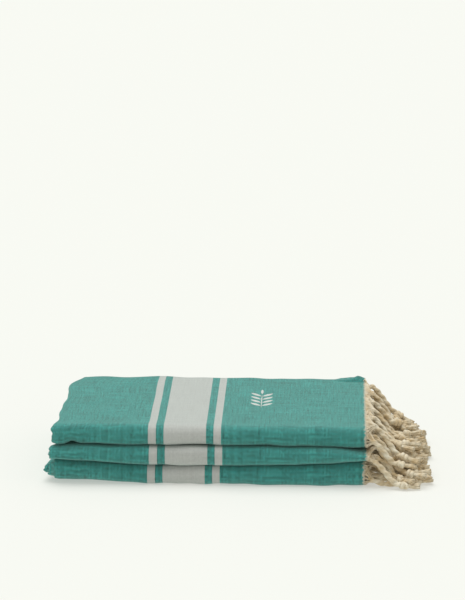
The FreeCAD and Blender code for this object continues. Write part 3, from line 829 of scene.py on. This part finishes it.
def pressed_down(points):
    """Points under LIMP_HEIGHT are pressed towards the floor and never through it: the height
    is that limit times the exponential of what is missing, as a share of the limit."""
    height = LIMP_HEIGHT * np.exp(np.minimum(points[:, 2] / LIMP_HEIGHT - 1, 0))
    low = points[:, 2] < LIMP_HEIGHT
    return np.column_stack([points[:, :2], np.where(low, height, points[:, 2])])


def plies(group):
    """Two plies wound round each tassel's line, close together at the root."""
    cord = np.array([tassel[-1] for tassel in group])
    turn_by = np.array([scatter(tassel[4], PLY_STEP) for tassel in group])[:, None]
    distance = np.linspace(0, 1, PLY_RINGS) * (cord[:, None] + KNOT_SHOULDER)
    centre = along_tassel(group, distance)
    centre[:, 1:-1] = (centre[:, :-2] + 2 * centre[:, 1:-1] + centre[:, 2:]) / 4
    level, upright = cross_frame(centre)
    gathered = np.clip(distance / CORD_GATHER, 0, 1)
    apart = PLY_APART + PLY_OPENING * gathered
    thick = PLY_DIAMETER / 2 * (ROOT_PLY_SHARE + (1 - ROOT_PLY_SHARE) * gathered)
    thick = thick * (1 + PLY_LUMPS * np.sin(distance / LUMP_SPACING + 9 * turn_by))
    twist = CORD_TWIST * (1 + TWIST_SPREAD * turn_by)
    parts = []
    for half_turn in (0, math.pi):
        angle = 2 * math.pi * distance / twist + half_turn + 3 * turn_by
        path = around(centre, level, upright, apart, angle)
        parts.append(tubes(path, thick, PLY_SIDES))
    return joined(parts)


def knots(group):
    """An overhand knot: the cord coiled round itself, with one pass laid across the coil."""
    cord = np.array([tassel[-1] for tassel in group])
    turn_by = np.array([scatter(tassel[4], KNOT_STEP) for tassel in group])
    middle = along_tassel(group, cord[:, None] + KNOT_LENGTH * np.linspace(0, 1, 5))
    axis = middle[:, -1] - middle[:, 0]
    axis /= np.linalg.norm(axis, axis=1, keepdims=True)
    level = np.cross(axis, (0, 0, 1.0))
    level /= np.linalg.norm(level, axis=1, keepdims=True)
    upright = np.cross(level, axis)
    parts = []
    for coil in (KNOT_COIL, KNOT_PASS):
        share = np.linspace(0, 1, coil["rings"])
        angle = 2 * math.pi * coil["turns"] * share + coil["start"] + 4 * turn_by[:, None]
        reach = KNOT_LENGTH * (0.14 + 0.72 * share) + KNOT_SLANT * np.cos(angle)
        centre = middle[:, :1] + reach[..., None] * axis[:, None]
        radius = coil["radius"] * np.sin(math.pi * np.clip(share, 0.06, 0.94)) ** 0.35
        radius = np.broadcast_to(radius, angle.shape)
        path = around(centre, level[:, None], upright[:, None], radius, angle)
        parts.append(tubes(path, coil["wire"] / 2, PLY_SIDES))
    return joined(parts)


def tufts(group):
    """Cut yarns that splay from the knot: places in a disc, spread as they go outwards.

    A yarn's place in the disc is the root of its share of the yarns times the radius, at the
    golden angle from the one before.
    """
    cord = np.array([tassel[-1] for tassel in group])
    turn_by = np.array([scatter(tassel[4], TUFT_STEP) for tassel in group])[:, None, None]
    share = np.linspace(0, 1, len(YARN_SHARES))
    start = cord[:, None] + KNOT_LENGTH - TUFT_INSIDE
    centre = along_tassel(group, start + (TUFT_LENGTH + 0.002) * share)
    level, upright = cross_frame(centre)
    yarn = np.arange(TUFT_YARNS)[:, None]
    spread = TUFT_NECK_DIAMETER / 2 - YARN_DIAMETER / 2
    spread = spread + (TUFT_SPLAY / 2 - TUFT_NECK_DIAMETER / 2) * share**1.6
    radius = np.sqrt((yarn + 0.5) / TUFT_YARNS) * spread
    wander = YARN_WANDER * np.sin(7 * share + 3 * yarn + 9 * turn_by)
    radius = radius + wander * share
    angle = GOLDEN_ANGLE * yarn + 0.5 * share + 5 * turn_by
    path = around(centre[:, None], level[:, None], upright[:, None], radius, angle)
    cut = 1 - CUT_SPREAD * np.abs(np.sin(yarn * 1.7 + 6 * turn_by))[..., None]
    path = centre[:, None, :1] + (path - centre[:, None, :1]) * cut
    rings = len(YARN_SHARES)
    return tubes(path.reshape(-1, rings, 3), YARN_DIAMETER / 2 * YARN_SHARES, 6)


ECRU_DARK, ECRU_LIGHT = linear("#cdb68e"), linear("#e9e0ca")
PATCHES_PER_METRE, FIBRES_PER_METRE = 70.0, 700.0


def hand_twisted_cotton():
    """Undyed carded cotton: warm ecru in darker and paler patches, with the twist of the yarns
    round each ply and painted shade in its grooves, and a dry, slightly hairy surface."""
    material = bpy.data.materials.new("hand_twisted_cotton")
    material.use_nodes = True
    tree = material.node_tree
    shader = tree.nodes["Principled BSDF"]
    place = add_node(tree, "ShaderNodeUVMap", uv_map="flat")
    around_yarn = add_node(tree, "ShaderNodeSeparateXYZ", {0: place})
    along_yarn = around_yarn.node.outputs[1]
    turned = add_node(
        tree, "ShaderNodeMath", {0: along_yarn, 1: 1 / YARN_TWIST}, operation="MULTIPLY"
    )
    turned = add_node(
        tree, "ShaderNodeMath", {0: around_yarn, 1: 2.0, 2: turned}, operation="MULTIPLY_ADD"
    )
    turned = add_node(tree, "ShaderNodeMath", {0: turned, 1: 2 * math.pi}, operation="MULTIPLY")
    strand = add_node(tree, "ShaderNodeMath", {0: turned}, operation="SINE")
    where = add_node(tree, "ShaderNodeTexCoord", out=3)
    patches = {"Vector": where, "Scale": PATCHES_PER_METRE, "Detail": 3.0}
    patches = add_node(tree, "ShaderNodeTexNoise", patches)
    fibres = {"Vector": where, "Scale": FIBRES_PER_METRE, "Detail": 2.0}
    fibres = add_node(tree, "ShaderNodeTexNoise", fibres)
    tone = {"Value": patches, "From Min": 0.32, "From Max": 0.68}
    tone = add_node(tree, "ShaderNodeMapRange", tone)
    colours = {0: tone, 6: ECRU_DARK, 7: ECRU_LIGHT}
    colour = add_node(tree, "ShaderNodeMix", colours, out=2, data_type="RGBA")
    # Painted shade: the colour darkens by up to 12 per cent in the grooves of the yarns' twist.
    twist_groove_shade = add_node(
        tree,
        "ShaderNodeMapRange",
        {"Value": strand, "From Min": -1.0, "From Max": 0.4, "To Min": 0.88, "To Max": 1.0},
    )
    colour = add_node(tree, "ShaderNodeVectorMath", {0: colour, 3: twist_groove_shade}, operation="SCALE")
    tree.links.new(colour, shader.inputs["Base Color"])
    relief = add_node(
        tree, "ShaderNodeMath", {0: fibres, 1: 0.8, 2: strand}, operation="MULTIPLY_ADD"
    )
    bump = add_node(
        tree, "ShaderNodeBump", {"Strength": 0.35, "Distance": 0.0005, "Height": relief}
    )
    tree.links.new(bump, shader.inputs["Normal"])
    shader.inputs["Roughness"].default_value = 0.9
    shader.inputs["Specular IOR Level"].default_value = 0.2
    shader.inputs["Sheen Weight"].default_value = 0.2
    shader.inputs["Sheen Roughness"].default_value = 0.5
    return material


yarn_cotton = hand_twisted_cotton()
fringes = {towel: [] for towel in TOWELS}
for level, towel in enumerate(TOWELS):
    for end in END_LAYERS:
        for quarter in (1, 2, 3, 4):
            group = [t for t in laid if t[:3] == (level, end, quarter)]
            points, quads, flat_places = joined([plies(group), knots(group), tufts(group)])
            tassels = quad_mesh(
                f"{towel}_tassels_{end}{quarter}", pressed_down(points), quads, flat_places
            )
            tassels.data.materials.append(yarn_cotton)
            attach(tassels, f"{towel}_towel")
            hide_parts(f"{towel}_towel_end_{end}_tassels_{quarter}")
            fringes[towel].append(tassels)

# ---- The headings ----------------------------------------------------------------------
# Past the last weft the warp yarns are loose. They leave the cloth a few at a time and run
# along its edge to the nearest tassel, where the twist gathers them.

STRAND_SPACING = 0.0042  # each strand stands for a few warp yarns
STRAND_DIAMETER = 0.0025
STRAND_RINGS = 9
STRAND_TUCK = 0.001  # how far a strand starts inside the cloth's edge
STRAND_OUT, OUT_SPREAD = 0.0035, 0.0012  # how far it runs straight on
UP_SPREAD = 0.0016
STRAND_MERGE = 0.0032  # how far before its tassel's root it turns along the cord
LEAST_RUN = 0.004  # the least that it has run out by then
SHORTCUT = np.array((0, 0.28, 0.168))  # share of the way back to the edge, in x, y and z
STRAND_INSIDE = 0.007  # its length within the cord
STRAND_DISC = 0.0021  # radius of the bundle that the strands make there


def heading(level, end):
    """Strands from the cloth's end to the tassels. Each is a Bezier curve of four points: it
    leaves the cloth straight and joins the nearest tassel along its cord."""
    own = [t for t in laid if t[0] == level and t[1] == end]
    at = np.array([tassel[3] for tassel in own])
    root = np.stack([tassel[5][0] for tassel in own])
    ahead = np.stack([tassel[5][2] - tassel[5][0] for tassel in own])
    ahead /= np.linalg.norm(ahead, axis=1, keepdims=True)
    u = np.arange(STRAND_SPACING / 2, CLOTH_WIDTH, STRAND_SPACING)
    nearest = np.abs(u[:, None] - at).argmin(1)
    target, ahead = root[nearest], ahead[nearest]
    strand = np.arange(len(u))
    swing, swing_up = scatter(strand, TURN_STEP), scatter(strand, CURL_STEP)

    edge = on_towel(level, u, np.full_like(u, 0.0 if end == "a" else CLOTH_LENGTH))
    edge[:, 0] -= STRAND_TUCK
    out = np.stack([STRAND_OUT + OUT_SPREAD * swing, 0 * swing, UP_SPREAD * swing_up], 1)
    late = target - STRAND_MERGE * ahead
    late[:, 0] = np.maximum(late[:, 0], edge[:, 0] + LEAST_RUN)
    late += SHORTCUT * (edge - late)
    inside = target + STRAND_INSIDE * ahead
    disc = np.stack([0 * swing, STRAND_DISC * swing, STRAND_DISC * swing_up], 1)
    share = np.linspace(0, 1, STRAND_RINGS)[:, None, None]
    path = (1 - share) ** 3 * edge + 3 * share * (1 - share) ** 2 * (edge + out)
    path = path + 3 * share**2 * (1 - share) * (late + disc) + share**3 * (inside + 0.8 * disc)
    thick = STRAND_DIAMETER / 2 * np.linspace(1.0, 0.75, STRAND_RINGS)
    points, quads, flat_places = tubes(path.transpose(1, 0, 2), thick, 6)
    return pressed_down(points), quads, flat_places


for level, towel in enumerate(TOWELS):
    for end in END_LAYERS:
        loose_warp = quad_mesh(f"{towel}_heading_{end}", *heading(level, end))
        loose_warp.data.materials.append(yarn_cotton)
        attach(loose_warp, f"{towel}_towel")
        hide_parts(f"{towel}_towel_end_{end}_heading")
        fringes[towel].append(loose_warp)

# ---- The floor, the light and the camera -----------------------------------------------
# A smooth white acrylic floor, lit a little from beneath, under soft light from above. Only
# the undersides and the spaces between the folds are dark.

FLOOR_HALF, FLOOR_HEIGHT = 12.0, -0.0002
FLOOR_GLOW = 0.43
floor_mesh = bpy.data.meshes.new("floor")
corners = FLOOR_HALF * np.array([(-1, -1), (1, -1), (1, 1), (-1, 1)])
floor_mesh.from_pydata([(x, y, FLOOR_HEIGHT) for x, y in corners], [], [(0, 1, 2, 3)])
floor = bpy.data.objects.new("floor", floor_mesh)
bpy.context.collection.objects.link(floor)
opal_acrylic = bpy.data.materials.new("opal_acrylic")
opal_acrylic.use_nodes = True
acrylic_shader = opal_acrylic.node_tree.nodes["Principled BSDF"]
acrylic_shader.inputs["Base Color"].default_value = linear("#b4b5b1")
acrylic_shader.inputs["Emission Color"].default_value = linear("#f9faf4")
acrylic_shader.inputs["Emission Strength"].default_value = FLOOR_GLOW
acrylic_shader.inputs["Roughness"].default_value = 0.95
acrylic_shader.inputs["Specular IOR Level"].default_value = 0.0
floor_mesh.materials.append(opal_acrylic)

STUDIO_LIGHT = 0.56
sky = bpy.data.worlds.new("studio")
sky.use_nodes = True
sky.node_tree.nodes["Background"].inputs["Color"].default_value = linear("#f9faf5")
sky.node_tree.nodes["Background"].inputs["Strength"].default_value = STUDIO_LIGHT
bpy.context.scene.world = sky

LAMP_POWER = 2.05
LAMP_SPREAD = math.radians(50)
LAMP_TILT = math.radians(-6)
lamp = bpy.data.lights.new("overhead", "SUN")
lamp.energy = LAMP_POWER
lamp.angle = LAMP_SPREAD
overhead = bpy.data.objects.new("overhead", lamp)
overhead.rotation_euler = (LAMP_TILT, LAMP_TILT, 0)
bpy.context.collection.objects.link(overhead)

bpy.context.scene.view_settings.view_transform = "Standard"

CAMERA_PLACE = (0.1781, -4.058, 1.381)
CAMERA_DOWN = math.radians(15.6)
CAMERA_TURN = math.radians(2.15)
CAMERA_LENS = 169.6  # millimetres
camera = bpy.data.objects.new("camera", bpy.data.cameras.new("camera"))
camera.location = CAMERA_PLACE
camera.rotation_euler = (math.pi / 2 - CAMERA_DOWN, 0, CAMERA_TURN)
camera.data.lens = CAMERA_LENS
camera.data.clip_end = 60
bpy.context.collection.objects.link(camera)
bpy.context.scene.camera = camera
